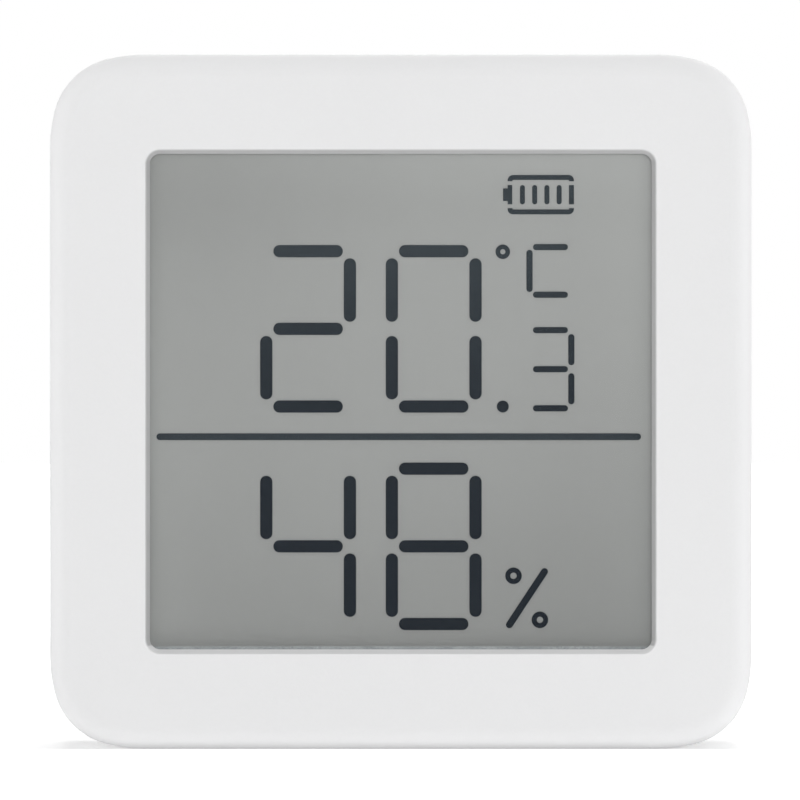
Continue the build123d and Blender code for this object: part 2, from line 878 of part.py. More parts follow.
def spring(height, side):
    """Conical spring between a contact plate and a cell's flat end, as one tube of tangent arcs."""
    wire = spring_wire / 2
    seat = bay_half - contact_thickness - wire
    rise = spring_length - spring_wire
    steps = spring_quarter_turns
    points = []
    for number in range(steps + 1):
        share = number / steps
        angle = number * pi / 2
        radius = spring_seat_radius + (spring_tip_radius - spring_seat_radius) * share
        depth = cell_depth + radius * cos(angle)
        points.append(Vector(seat - rise * share, depth, height + radius * sin(angle)))
    shrink = (spring_tip_radius - spring_seat_radius) / (steps * pi / 2)
    heading = Vector(-rise / (steps * pi / 2), shrink, spring_seat_radius)
    arcs = []
    for start, end in zip(points, points[1:]):
        arcs.append(TangentArc(start, end, tangent=heading))
        heading = arcs[-1] % 1
    path = Wire([edge for arc in arcs for edge in arc.edges()])
    coil = sweep(Plane(path @ 0, z_dir=path % 0) * Circle(wire), path=path)
    print("spring tube", round(coil.volume / (pi * wire * wire * path.length), 4), "of section times length")
    print("spring gap between turns", round(turn_gap(points), 2))
    return coil if side > 0 else mirror(coil, about=Plane.YZ)


def turn_gap(points):
    """Least distance between neighbouring turns of a spring, less its wire."""
    apart = [(first - second).length for first, second in zip(points, points[4:])]
    return min(apart) - spring_wire


def contact_springs():
    """Both springs, each at the flat end of a cell."""
    return group([spring(lower_cell_height, -1), spring(upper_cell_height, 1)])


def switch_body():
    """Push switch body on the board."""
    half = switch_size / 2
    low, high = button_height - half, button_height + half
    body = brick(button_x - half, button_x + half, board_back, switch_top, low, high)
    body = chamfer(body.edges().filter_by(Axis.Y), switch_size / 12)
    bore = plunger_radius + button_fit_clearance
    bore_end = plunger_top - plunger_length - button_travel - button_fit_clearance
    return body - peg(button_x, button_height, bore, bore_end, switch_top)


def switch_plunger():
    """Round plunger of the push switch."""
    return peg(button_x, button_height, plunger_radius, plunger_top - plunger_length, plunger_top)


def unit_button():
    """Long button from the switch to the back of the cover."""
    foot = plunger_top + button_touch_gap
    cap_back = back_face - button_recess
    cap_front = cap_back - button_cap_height
    button = peg(button_x, button_height, button_collar_radius, foot, foot + button_collar_height)
    button += peg(button_x, button_height, button_stem_radius, foot, cap_front)
    cap = peg(button_x, button_height, button_cap_radius, cap_front, cap_back)
    cap = fillet(cap.edges().group_by(Axis.Y)[-1], button_cap_round)
    return button + cap


def keyhole_outline():
    """Keyhole seen from the front."""
    neck_end = keyhole_entry_height + keyhole_drop
    neck = keyhole_neck_radius
    outline = Pos(0, keyhole_entry_height) * Circle(keyhole_entry_radius)
    outline += region(-neck, neck, keyhole_entry_height, neck_end)
    return outline + Pos(0, neck_end) * Circle(neck)


def keyhole_room(margin):
    """Room behind the keyhole for a screw's head, widened by a margin."""
    half = keyhole_entry_radius + keyhole_room_margin + margin
    return region(-half, half, keyhole_room_bottom - margin, keyhole_top + margin)


def rear_cover():
    """Rear casing half with the leg recess, keyhole and button hole."""
    outside = slab(casing_outline(), seam, back_face)
    outside = fillet(outside.edges().group_by(Axis.Y)[-1], rear_edge_radius)
    outside = chamfer(outside.edges().group_by(Axis.Y)[0], seam_bevel)
    cover = outside - slab(casing_outline(shell_wall), seam, cover_inside)
    tongue = casing_outline(rim_wall + tongue_clearance) - casing_outline(shell_wall)
    cover += slab(tongue, seam - tongue_length, seam)
    half = recess_width / 2
    reach = half + recess_wall
    tub_front = recess_floor - recess_floor_wall
    tub = brick(-reach, reach, tub_front, back_face, 0, recess_top + recess_wall)
    cover += tub & outside
    cover += keyhole_box()
    hole_radius = button_cap_radius + button_hole_clearance
    skirt_radius = hole_radius + hole_skirt_wall
    cover += peg(button_x, button_height, skirt_radius, cover_inside - hole_skirt_length, cover_inside)
    cover -= brick(-half, half, recess_floor, back_face + overrun, -overrun, recess_top)
    cover -= slab(keyhole_room(0), cover_inside - keyhole_room_depth, cover_inside)
    cover -= slab(keyhole_outline(), cover_inside, back_face)
    cover -= peg(button_x, button_height, hole_radius, cover_inside - hole_skirt_length, back_face)
    bearing = half + trunnion_length + trunnion_end_gap
    radius = trunnion_radius + trunnion_clearance
    cover -= cross_bar(hinge_depth, hinge_height, radius, -bearing, bearing)
    notch = pry_notch_width / 2
    floor = body_height - pry_notch_depth
    return cover - brick(-notch, notch, seam, seam + pry_notch_length, floor, body_height + overrun)


def keyhole_box():
    """Closed box behind the keyhole."""
    wall = keyhole_room_wall
    return slab(keyhole_room(wall), cover_inside - keyhole_room_depth - wall, cover_inside)


def stand_leg():
    """Fold-out leg: a ribbed plate with a round hinge end, two trunnions and grip grooves."""
    half = recess_width / 2 - leg_side_gap
    front = hinge_depth - leg_thickness / 2
    back = hinge_depth + leg_thickness / 2
    plate = brick(-half, half, front, back, leg_tip_height, hinge_height)
    tip_corners = plate.edges().filter_by(Axis.Y).group_by(Axis.Z)[0]
    leg = fillet(tip_corners, leg_corner_radius)
    leg += cross_bar(hinge_depth, hinge_height, leg_thickness / 2, -half, half)
    bays = leg_rib_count + 1
    low = leg_tip_height + leg_rib
    high = hinge_height - leg_thickness
    bay = (high - low - leg_rib_count * leg_rib) / bays
    for number in range(bays):
        bottom = low + number * (bay + leg_rib)
        corner = max(leg_corner_radius - leg_rib, leg_window_corner) if number == 0 else leg_window_corner
        hollow = region(-half + leg_rib, half - leg_rib, bottom, bottom + bay, corner)
        leg -= slab(hollow, front, back - leg_skin)
    for number in range(grip_count):
        middle = leg_tip_height + grip_tip_distance + number * grip_pitch
        leg -= slab(Pos(0, middle) * SlotOverall(grip_length, grip_width), back - grip_depth, back)
    reach = recess_width / 2 + trunnion_length
    return leg + cross_bar(hinge_depth, hinge_height, trunnion_radius, -reach, reach)


def build_parts():
    """Every sub-part under its name."""
    lower, upper = lower_cell_height, upper_cell_height
    return {
        "front_shell": front_shell(),
        "display_gasket": display_gasket(),
        "front_polarizer": front_polarizer(),
        "front_glass": glass(front_glass_bottom, polarizer_back),
        "display_segments": display_segments(),
        "edge_seal": edge_seal(),
        "rear_glass": glass(rear_glass_bottom, rear_glass_front),
        "reflector": reflector(),
        "display_holder": display_holder(),
        "contact_strip": contact_strip(),
        "main_board": main_board(),
        "antenna": antenna(),
        "radio_chip": radio_chip(),
        "driver_chip": driver_chip(),
        "crystal": crystal(),
        "board_passives": board_passives(),
        "humidity_sensor": humidity_sensor(),
        "sensor_foam": sensor_foam(),
        "board_screws": board_screws(),
        "case_screws": case_screws(),
        "battery_chassis": battery_chassis(),
        "lower_cell": cell(lower, 1),
        "upper_cell": cell(upper, -1),
        "cell_jackets": cell_jackets(),
        "positive_contact": contact_plate(-1, upper, upper, [upper]),
        "negative_contact": contact_plate(-1, lower, lower, [lower]),
        "bridge_contact": contact_plate(1, lower, upper, []),
        "contact_springs": contact_springs(),
        "switch_body": switch_body(),
        "switch_plunger": switch_plunger(),
        "unit_button": unit_button(),
        "rear_cover": rear_cover(),
        "stand_leg": stand_leg(),
    }


os.makedirs("parts", exist_ok=True)
for node, shape in build_parts().items():
    export_step(shape, f"parts/{node}.step")
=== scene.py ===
"""Dresses a small room climate display: its casing, its reflective display and what is inside."""

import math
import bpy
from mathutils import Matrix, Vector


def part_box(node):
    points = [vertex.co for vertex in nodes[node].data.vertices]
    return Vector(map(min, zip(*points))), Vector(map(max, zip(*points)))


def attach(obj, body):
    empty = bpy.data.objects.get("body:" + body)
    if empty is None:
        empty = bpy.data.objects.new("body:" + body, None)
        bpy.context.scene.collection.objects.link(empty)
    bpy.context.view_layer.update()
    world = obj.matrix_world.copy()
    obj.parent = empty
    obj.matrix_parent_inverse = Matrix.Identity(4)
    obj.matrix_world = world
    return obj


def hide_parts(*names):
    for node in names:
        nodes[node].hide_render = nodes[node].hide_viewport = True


bl_info = {
    "name": "Room climate display",
    "version": (1, 0, 0),
    "blender": (4, 5, 0),
    "location": "View3D > Sidebar > Climate display",
    "description": "Finishes and small fittings of a thermometer and hygrometer for wall or table",
    "category": "Object",
}

import bmesh
import bpy
from bpy.props import FloatProperty, FloatVectorProperty, PointerProperty
from mathutils import Matrix, Vector

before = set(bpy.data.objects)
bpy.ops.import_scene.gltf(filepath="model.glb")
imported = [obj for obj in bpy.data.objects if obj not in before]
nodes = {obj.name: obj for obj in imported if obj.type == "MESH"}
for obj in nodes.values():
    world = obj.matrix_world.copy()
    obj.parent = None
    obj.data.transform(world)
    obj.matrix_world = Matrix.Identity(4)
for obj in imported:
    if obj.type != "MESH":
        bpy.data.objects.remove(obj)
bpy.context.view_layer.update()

casing_low, casing_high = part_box("front_shell")
field_low, field_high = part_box("reflector")
middle_height = (casing_low.z + casing_high.z) / 2

# Vertices nearer than this are one vertex, and faces that bend less than this are one face
merge_distance = 2e-7
flat_angle = math.radians(0.05)

# Edges that bend by more than these angles are shaded sharp
moulded_crease = math.radians(32)
block_crease = math.radians(40)
wire_crease = math.radians(60)

# Places nearer than this count as level, in metres
level_tolerance = 1e-6


# Shader maths


class Tone:
    """One number of a finish, carried by a socket. Sums and products of tones add Math nodes."""

    def __init__(self, graph, socket):
        self.graph = graph
        self.socket = socket

    def _math(self, operation, *values):
        return self.graph.node("ShaderNodeMath", {"operation": operation}, values)

    def __add__(self, other):
        return self._math("ADD", self, other)

    def __radd__(self, other):
        return self._math("ADD", other, self)

    def __sub__(self, other):
        return self._math("SUBTRACT", self, other)

    def __rsub__(self, other):
        return self._math("SUBTRACT", other, self)

    def __mul__(self, other):
        return self._math("MULTIPLY", self, other)

    def __rmul__(self, other):
        return self._math("MULTIPLY", other, self)

    def __abs__(self):
        return self._math("ABSOLUTE", self)

    def __lt__(self, other):
        return self._math("LESS_THAN", self, other)

    def __gt__(self, other):
        return self._math("GREATER_THAN", self, other)

    def larger(self, other):
        """The larger of two tones."""
        return self._math("MAXIMUM", self, other)

    def zigzag(self, height):
        """A tone that climbs to a height and falls back, again and again."""
        return self._math("PINGPONG", self, height)


class Graph:
    """Nodes of a material or of the surroundings, from the output back."""

    def __init__(self, owner, output):
        owner.use_nodes = True
        self.tree = owner.node_tree
        self.tree.nodes.clear()
        self.output = self.tree.nodes.new(output)

    def node(self, kind, settings=None, inputs=(), output=0):
        """Adds a node: its settings first, then its sockets by order or by name."""
        made = self.tree.nodes.new(kind)
        for name, value in (settings or {}).items():
            setattr(made, name, value)
        named = inputs.items() if isinstance(inputs, dict) else enumerate(inputs)
        for name, value in named:
            self.feed(made.inputs[name], value)
        return Tone(self, made.outputs[output])

    def feed(self, socket, value):
        """Links a tone to a socket, or sets the socket's own value."""
        if isinstance(value, Tone):
            self.tree.links.new(value.socket, socket)
        elif hasattr(value, "__len__") and len(socket.default_value) > len(value):
            socket.default_value = (*value, 1.0)
        else:
            socket.default_value = value

    def show(self, shader):
        """Links a shader to the output."""
        self.feed(self.output.inputs["Surface"], shader)

    def between(self, tone, low, high, start=0.0, end=1.0):
        """Maps a tone from one range to another and stops at its ends."""
        return self.node("ShaderNodeMapRange", None, (tone, low, high, start, end))

    def seen_by(self, *rays):
        """One for these kinds of light ray, zero for the others."""
        share, *others = (self.node("ShaderNodeLightPath", output=f"Is {ray} Ray") for ray in rays)
        for other in others:
            share = share.larger(other)
        return share


class Finish(Graph):
    """A procedural material on object coordinates."""

    def __init__(self, name):
        self.material = bpy.data.materials.new(name)
        super().__init__(self.material, "ShaderNodeOutputMaterial")
        self.shader = self.tree.nodes.new("ShaderNodeBsdfPrincipled")
        self.show(Tone(self, self.shader.outputs[0]))
        self.place = self.node("ShaderNodeTexCoord", output="Object")

    def surface(self, **values):
        """Sets or links the shader's sockets; underscores stand for spaces."""
        for name, value in values.items():
            socket = name.replace("_", " ").title().replace("Ior", "IOR")
            self.feed(self.shader.inputs[socket], value)

    def axis(self, name):
        """Place along x, y or z, in metres."""
        return self.node("ShaderNodeSeparateXYZ", None, (self.place,), "xyz".index(name))

    def noise(self, size, detail=2.0, stretch=(1, 1, 1), roughness=0.5):
        """Cloudy tone around a half, with blots of a size in metres."""
        place = self.node("ShaderNodeMapping", None, {"Vector": self.place, "Scale": stretch})
        values = {"Vector": place, "Scale": 1 / size, "Detail": detail, "Roughness": roughness}
        return self.node("ShaderNodeTexNoise", None, values)

    def cells(self, size):
        """Tone of pebbles or pores of a size in metres."""
        return self.node("ShaderNodeTexVoronoi", None, {"Vector": self.place, "Scale": 1 / size})

    def mix(self, share, first, second):
        """Mixes two colours."""
        return self.node("ShaderNodeMix", {"data_type": "RGBA"}, {0: share, 6: first, 7: second}, 2)

    def scaled(self, colour, level):
        """A colour made lighter or darker by a tone."""
        values = {"Vector": colour, "Scale": level}
        return self.node("ShaderNodeVectorMath", {"operation": "SCALE"}, values)

    def bump(self, height, depth):
        """Relief of a depth in metres."""
        values = {"Height": height, "Distance": depth}
        self.surface(normal=self.node("ShaderNodeBump", None, values))


# Small helpers of the pieces


def shade(colour, amount):
    """A colour made lighter or darker by a factor."""
    return tuple(part * amount for part in colour[:3])


def coat_node(name, finish):
    """Gives a CAD node one finish in all its slots."""
    data = nodes[name].data
    for slot in range(max(1, len(data.materials))):
        if slot < len(data.materials):
            data.materials[slot] = finish.material
        else:
            data.materials.append(finish.material)


def mark_creases(shape, crease):
    """Shades a bmesh smoothly but for the edges that bend more than the crease."""
    for face in shape.faces:
        face.smooth = True
    for edge in shape.edges:
        edge.smooth = edge.calc_face_angle(math.pi) < crease


def add_piece(name, data, finish, body):
    """Puts a mesh with one finish into the scene, where it rides on a body."""
    data.materials.append(finish.material)
    piece = bpy.data.objects.new(name, data)
    bpy.context.scene.collection.objects.link(piece)
    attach(piece, body)
    return piece


def smooth_copy(name, finish, body, crease=moulded_crease):
    """Stands a merged, smoothly shaded copy in for a CAD node."""
    data = nodes[name].data.copy()
    shape = bmesh.new()
    shape.from_mesh(data)
    bmesh.ops.remove_doubles(shape, verts=shape.verts, dist=merge_distance)
    bmesh.ops.dissolve_limit(
        shape, angle_limit=flat_angle, use_dissolve_boundaries=False,
        verts=shape.verts, edges=shape.edges, delimit={"NORMAL"},
    )
    mark_creases(shape, crease)
    shape.to_mesh(data)
    shape.free()
    data.materials.clear()
    piece = add_piece(name + "_finish", data, finish, body)
    weighted = piece.modifiers.new("weighted", "WEIGHTED_NORMAL")
    weighted.mode = "FACE_AREA"
    weighted.weight = 100
    weighted.keep_sharp = True
    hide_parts(name)


def finished_piece(name, shape, finish, body, crease=0.0):
    """Turns a bmesh into a piece that rides on a body."""
    bmesh.ops.recalc_face_normals(shape, faces=shape.faces)
    mark_creases(shape, crease)
    data = bpy.data.meshes.new(name)
    shape.to_mesh(data)
    shape.free()
    return add_piece(name, data, finish, body)


def solid_boxes(name):
    """Boxes of the separate solids of a CAD node, as (low, high) corners."""
    shape = bmesh.new()
    shape.from_mesh(nodes[name].data)
    bmesh.ops.remove_doubles(shape, verts=shape.verts, dist=merge_distance)
    left = set(shape.verts)
    boxes = []
    while left:
        stack = [left.pop()]
        found = list(stack)
        while stack:
            for edge in stack.pop().link_edges:
                for vert in edge.verts:
                    if vert in left:
                        left.remove(vert)
                        stack.append(vert)
                        found.append(vert)
        low = Vector([min(vert.co[axis] for vert in found) for axis in range(3)])
        high = Vector([max(vert.co[axis] for vert in found) for axis in range(3)])
        boxes.append((low, high))
    shape.free()
    return sorted(boxes, key=lambda box: tuple(round(part, 6) for part in box[0]))


def add_block(shape, low, high, bevel=0.0):
    """Adds a block between two corners, bevelled if asked."""
    low, high = Vector(low), Vector(high)
    place = Matrix.Translation((low + high) / 2) @ Matrix.Diagonal((*(high - low), 1.0))
    made = bmesh.ops.create_cube(shape, size=1.0, matrix=place)
    if bevel:
        edges = list({edge for vert in made["verts"] for edge in vert.link_edges})
        bmesh.ops.bevel(
            shape, geom=edges, offset=bevel, segments=2, profile=0.5, affect="EDGES", material=-1
        )


# Sizes and colours


class CasingSettings(bpy.types.PropertyGroup):
    """Moulded plastic of the casing."""

    colour: FloatVectorProperty(
        name="Plastic colour", description="Colour of the casing, cover and stand",
        subtype="COLOR", default=(0.805, 0.805, 0.81), min=0, max=1,
    )
    # Painted shade: this level darkens the window's top and side walls, deeper in, as if in shade
    lip_shade_level: FloatProperty(
        name="Lip level",
        description="Level of the thin lip at the window's top and sides against thicker walls",
        default=0.67, min=0.3, max=1,
    )
    grain: FloatProperty(
        name="Grain", description="Width of the fine moulded grain",
        default=0.00022, min=0.00005, max=0.002, unit="LENGTH", precision=5,
    )
    grain_depth: FloatProperty(
        name="Grain depth", description="Depth of the fine moulded grain",
        default=0.000011, min=0, max=0.0001, unit="LENGTH", precision=6,
    )
    button_colour: FloatVectorProperty(
        name="Button colour", description="Colour of the unit button on the back",
        subtype="COLOR", default=(0.52, 0.53, 0.54), min=0, max=1,
    )


class DisplaySettings(bpy.types.PropertyGroup):
    """Reflective segment display."""

    field_colour: FloatVectorProperty(
        name="Field colour", description="Colour of the display where nothing is shown",
        subtype="COLOR", default=(0.321, 0.328, 0.321), min=0, max=1,
    )
    # Painted light: these two are lit and shaded copies of one ink; the lighter top is a painted
    # reflection of light from above
    segment_lit_colour: FloatVectorProperty(
        name="Segment colour",
        description="Colour of the digits and signs at the top of the display",
        subtype="COLOR", default=(0.044, 0.0535, 0.062), min=0, max=1,
    )
    segment_shade: FloatVectorProperty(
        name="Segment shade",
        description="Colour of the digits and signs at the foot of the display",
        subtype="COLOR", default=(0.018, 0.0225, 0.030), min=0, max=1,
    )
    veil: FloatProperty(
        name="Veil", description="Share of light that the satin front film scatters back",
        default=0.02, min=0, max=0.5,
    )


class BoardSettings(bpy.types.PropertyGroup):
    """Circuit board and its parts."""

    mask_colour: FloatVectorProperty(
        name="Mask colour", description="Colour of the solder mask",
        subtype="COLOR", default=(0.012, 0.085, 0.038), min=0, max=1,
    )
    plating_colour: FloatVectorProperty(
        name="Plating colour", description="Colour of the gold plated copper",
        subtype="COLOR", default=(0.80, 0.58, 0.28), min=0, max=1,
    )


class CellSettings(bpy.types.PropertyGroup):
    """The two cells and their contacts."""

    jacket_colour: FloatVectorProperty(
        name="Jacket colour", description="Colour of the plastic jackets",
        subtype="COLOR", default=(0.035, 0.075, 0.13), min=0, max=1,
    )
    band_colour: FloatVectorProperty(
        name="Band colour", description="Colour of the band at the positive end",
        subtype="COLOR", default=(0.62, 0.64, 0.66), min=0, max=1,
    )
    steel_colour: FloatVectorProperty(
        name="Steel colour", description="Colour of the nickel plated steel",
        subtype="COLOR", default=(0.66, 0.65, 0.63), min=0, max=1,
    )


class StageSettings(bpy.types.PropertyGroup):
    """Camera, lamps and floor."""

    distance: FloatProperty(
        name="Distance", description="From the camera to the front of the casing",
        default=0.9, min=0.2, max=5, unit="LENGTH",
    )
    frame_width: FloatProperty(
        name="Frame width", description="Width that the picture covers at the front of the casing",
        default=0.06259, min=0.02, max=1, unit="LENGTH", precision=5,
    )
    fill: FloatProperty(
        name="Fill", description="Level of the light from all round",
        default=0.20, min=0, max=2,
    )
    table: FloatProperty(
        name="Table", description="Level of the light that the ground gives off",
        default=0.20, min=0, max=2,
    )
    key: FloatProperty(
        name="Key", description="Level of the soft lamp in front",
        default=0.485, min=0, max=2,
    )
    upper: FloatProperty(
        name="Upper", description="Level of the soft lamp above the camera",
        default=0.31, min=0, max=2,
    )
    top: FloatProperty(
        name="Top", description="Level of the soft lamp overhead",
        default=0.10, min=0, max=2,
    )
    back: FloatProperty(
        name="Back", description="Level of the soft lamp behind",
        default=0.25, min=0, max=2,
    )
    side: FloatProperty(
        name="Side", description="Level of the soft lamps at the sides",
        default=0.37, min=0, max=2,
    )


# Finishes


def moulded_plastic(
    name, colour, grain=0.00022, depth=0.000006, roughness=0.58, thin=None, painted_shade_level=1.0
):
    """Plain moulded plastic: faint clouds, fine grain, soft gloss, and darker by painted shade
    where a share of it is given.
    """
    finish = Finish(name)
    clouds = finish.noise(0.02, 3)
    specks = finish.noise(grain, 2, roughness=0.6)
    tone = finish.between(clouds + specks * 0.5, 0.45, 1.05)
    tint = finish.mix(tone, shade(colour, 0.982), shade(colour, 1.012))
    # Painted shade: the given share darkens the colour to the given level
    if thin:
        tint = finish.mix(thin(finish), tint, shade(colour, painted_shade_level))
    finish.surface(
        base_color=tint,
        roughness=finish.between(clouds + specks, 0.7, 1.3, roughness - 0.04, roughness + 0.05),
        specular_ior_level=0.28,
    )
    finish.bump(specks + finish.noise(0.006, 1) * 3, depth)
    return finish


def painted_lip_shade(finish):
    """Share of painted shade on the window's top and side walls, growing with the depth."""
    reach, foot, full_depth = 0.0004, 0.0005, 0.00035
    beside = abs(finish.axis("x")) < field_high.x + reach
    above = finish.axis("z") > field_low.z + foot
    below_top = finish.axis("z") < field_high.z + reach
    depth = finish.between(finish.axis("y"), casing_low.y, casing_low.y + full_depth)
    return beside * above * below_top * depth


def painted_field_light(finish):
    """Level of painted light on the display's field: highest at the upper right and near the
    glass's edges.
    """
    across = finish.between(finish.axis("x"), field_low.x, field_high.x, -1.0, 1.0)
    up = finish.between(finish.axis("z"), field_low.z, field_high.z, -1.0, 1.0)
    wide = across * across
    tall = up * up
    corner = across * (up * 0.095 + tall * 0.047)
    painted_slant = 1.04 + up * 0.131 - tall * 0.097 - wide * 0.068 + corner
    # The last two terms are painted light that brightens the field near the glass's edges
    return painted_slant + wide * wide * wide * wide * 0.245 + tall * tall * tall * tall * 0.174


def steel(name, colour, roughness, streak=(1, 1, 1)):
    """Plated steel with faint drawing lines."""
    finish = Finish(name)
    lines = finish.noise(0.0004, 4, streak, 0.65)
    blots = finish.noise(0.003, 2)
    patches = finish.between(blots, 0.35, 0.7)
    finish.surface(
        base_color=finish.mix(patches, shade(colour, 0.86), shade(colour, 1.08)),
        metallic=1.0,
        roughness=finish.between(lines + blots, 0.7, 1.3, roughness - 0.09, roughness + 0.12),
    )
    finish.bump(lines, 0.000008)
    return finish


def epoxy(name, colour, roughness, speck=0.00012, spot=None, spot_colour=None, spot_metal=0.0):
    """Finely speckled moulding compound of the chips, with another stuff where a spot is."""
    finish = Finish(name)
    grains = finish.noise(speck, 3, roughness=0.7)
    blots = finish.noise(0.0012, 2)
    tint = finish.mix(finish.between(grains, 0.3, 0.75), shade(colour, 0.7), shade(colour, 1.5))
    if spot:
        share = spot(finish)
        tint = finish.mix(share, tint, spot_colour)
        if spot_metal:
            finish.surface(metallic=share * spot_metal)
    finish.surface(
        base_color=tint,
        roughness=finish.between(blots, 0.3, 0.7, roughness - 0.07, roughness + 0.1),
    )
    finish.bump(grains, 0.000006)
    return finish


def foam(name, colour, pore=0.00035):
    """Open foam with small pores, painted darker inside as painted shade."""
    finish = Finish(name)
    pores = finish.cells(pore)
    # Painted shade: the pores' colour darkens with their depth
    depth = finish.between(pores, 0.1, 0.6)
    finish.surface(
        base_color=finish.mix(depth, shade(colour, 0.35), shade(colour, 1.25)),
        roughness=finish.between(finish.noise(pore * 3), 0.3, 0.7, 0.82, 0.98),
        specular_ior_level=0.2,
    )
    finish.bump(pores, 0.00008)
    return finish


# Operators


class CLIMATE_OT_casing(bpy.types.Operator):
    """Finish the front shell, the rear cover and the stand leg in pale moulded plastic"""

    bl_idname = "climate.casing"
    bl_label = "Casing"

    def execute(self, context):
        chosen = context.scene.climate_casing
        moulding = (chosen.colour, chosen.grain, chosen.grain_depth)
        plastic = moulded_plastic("casing_plastic", *moulding)
        # The front shell's plastic carries painted shade on the window's top and side walls
        front = moulded_plastic(
            "front_plastic", *moulding, thin=painted_lip_shade, painted_shade_level=chosen.lip_shade_level
        )
        smooth_copy("front_shell", front, "casing")
        smooth_copy("rear_cover", plastic, "cover")
        smooth_copy("stand_leg", plastic, "leg")
        return {"FINISHED"}


class CLIMATE_OT_button(bpy.types.Operator):
    """Finish the unit button in grey plastic"""

    bl_idname = "climate.button"
    bl_label = "Unit button"

    def execute(self, context):
        plastic = moulded_plastic("button_plastic", context.scene.climate_casing.button_colour)
        smooth_copy("unit_button", plastic, "button")
        return {"FINISHED"}


class CLIMATE_OT_display(bpy.types.Operator):
    """Finish the film, glasses, segments, reflector, seals and contact strip of the display"""

    bl_idname = "climate.display"
    bl_label = "Display"

    def execute(self, context):
        chosen = context.scene.climate_display
        self.reflector_slab(self.sanded_back(chosen))
        coat_node("display_segments", self.ink(chosen))
        self.window_slab(self.satin_film(chosen), self.clear_glass())
        coat_node("edge_seal", epoxy("edge_seal", (0.30, 0.33, 0.34), 0.4))
        coat_node("display_gasket", foam("gasket_foam", (0.36, 0.37, 0.37), 0.00012))
        coat_node("contact_strip", self.striped_rubber())
        return {"FINISHED"}

    def sanded_back(self, chosen):
        """Finely sanded reflector, its colour carrying painted light on the field."""
        back = Finish("display_reflector")
        sand = back.noise(0.00016, 3, roughness=0.75)
        clouds = back.noise(0.009, 2)
        # Painted light: the field's level brightens the colour at the upper right and near the
        # edges
        level = painted_field_light(back) * back.between(sand + clouds * 0.5, 0.4, 1.1, 0.975, 1.025)
        back.surface(
            base_color=back.scaled(chosen.field_colour, level),
            roughness=back.between(sand, 0.3, 0.7, 0.55, 0.75),
            specular_ior_level=0.2,
        )
        back.bump(sand, 0.000004)
        return back

    def ink(self, chosen):
        """Dark segments, lighter towards the top by a painted reflection of light from above, and
        lighter at the line between the two rows.
        """
        dark_height, light_height, line_half = middle_height - 0.017, middle_height + 0.012, 0.0006
        ink = Finish("display_segments")
        mottle = ink.noise(0.0002, 3, roughness=0.7)
        # Painted light: the ink grows lighter towards the top
        painted_rise = ink.between(ink.axis("z"), dark_height, light_height)
        boxes = solid_boxes("display_segments")
        line_low, line_high = max(boxes, key=lambda box: box[1].x - box[0].x)
        line = abs(ink.axis("z") - (line_low.z + line_high.z) / 2) < line_half
        level = (painted_rise * painted_rise * painted_rise + line * 0.7) * ink.between(mottle, 0.3, 0.7, 0.92, 1.06)
        ink.surface(
            base_color=ink.mix(level, chosen.segment_shade, chosen.segment_lit_colour),
            roughness=ink.between(mottle, 0.3, 0.7, 0.6, 0.8),
            specular_ior_level=0.0,
        )
        return ink

    def satin_film(self, chosen):
        """Nearly clear film with a satin face."""
        film = Finish("front_film")
        satin = film.noise(0.0001, 2, roughness=0.6)
        tone = film.between(satin, 0.3, 0.7)
        film.surface(
            base_color=film.mix(tone, (0.52, 0.54, 0.53), (0.60, 0.61, 0.60)),
            roughness=film.between(film.noise(0.004), 0.3, 0.7, 0.44, 0.54),
            alpha=film.between(satin, 0.2, 0.8, chosen.veil * 0.9, chosen.veil * 1.1),
        )
        film.bump(satin, 0.000001)
        return film

    def clear_glass(self):
        """Clear glass with faint smears."""
        clear = Finish("display_glass")
        smears = clear.noise(0.01, 3)
        tone = clear.between(smears, 0.3, 0.7)
        clear.surface(
            base_color=clear.mix(tone, (0.55, 0.68, 0.62), (0.62, 0.72, 0.68)),
            roughness=clear.between(smears, 0.3, 0.7, 0.20, 0.28),
            alpha=clear.between(smears, 0.3, 0.7, 0.005, 0.010),
        )
        return clear

    def striped_rubber(self):
        """Rubber of dark and pale layers side by side."""
        stripes = Finish("contact_strip")
        lines = stripes.node(
            "ShaderNodeTexWave", {"wave_type": "BANDS", "bands_direction": "X"},
            {"Vector": stripes.place, "Scale": 1300.0, "Distortion": 0.0},
        )
        tone = stripes.between(lines, 0.4, 0.6)
        stripes.surface(
            base_color=stripes.mix(tone, (0.03, 0.03, 0.03), (0.55, 0.54, 0.5)),
            roughness=stripes.between(stripes.noise(0.0006), 0.3, 0.7, 0.55, 0.75),
        )
        return stripes

    def window_slab(self, film, clear):
        """Front glass with the satin film bonded to its face, as one slab."""
        film_low, film_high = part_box("front_polarizer")
        low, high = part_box("front_glass")
        shape = bmesh.new()
        add_block(shape, low, high)
        bmesh.ops.inset_individual(shape, faces=[self.front_face(shape)], thickness=0.0001)
        face = self.front_face(shape)
        for vert in face.verts:
            vert.co.x = film_low.x if vert.co.x < 0 else film_high.x
            vert.co.z = film_low.z if vert.co.z < middle_height else film_high.z
        raised = bmesh.ops.extrude_discrete_faces(shape, faces=[face])["faces"]
        lifted = list({vert for face in raised for vert in face.verts})
        bmesh.ops.translate(shape, vec=Vector((0, film_low.y - low.y, 0)), verts=lifted)
        piece = finished_piece("display_window", shape, clear, "casing")
        piece.data.materials.append(film.material)
        for polygon in piece.data.polygons:
            if polygon.center.y < low.y - level_tolerance:
                polygon.material_index = 1
        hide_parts("front_polarizer", "front_glass")

    def reflector_slab(self, back):
        """Rear glass and reflector as one slab, bright right behind the segments."""
        low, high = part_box("rear_glass")
        shape = bmesh.new()
        add_block(shape, low, (high.x, field_high.y, high.z), 0.00005)
        piece = finished_piece("reflector_slab", shape, back, "casing")
        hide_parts("rear_glass", "reflector")

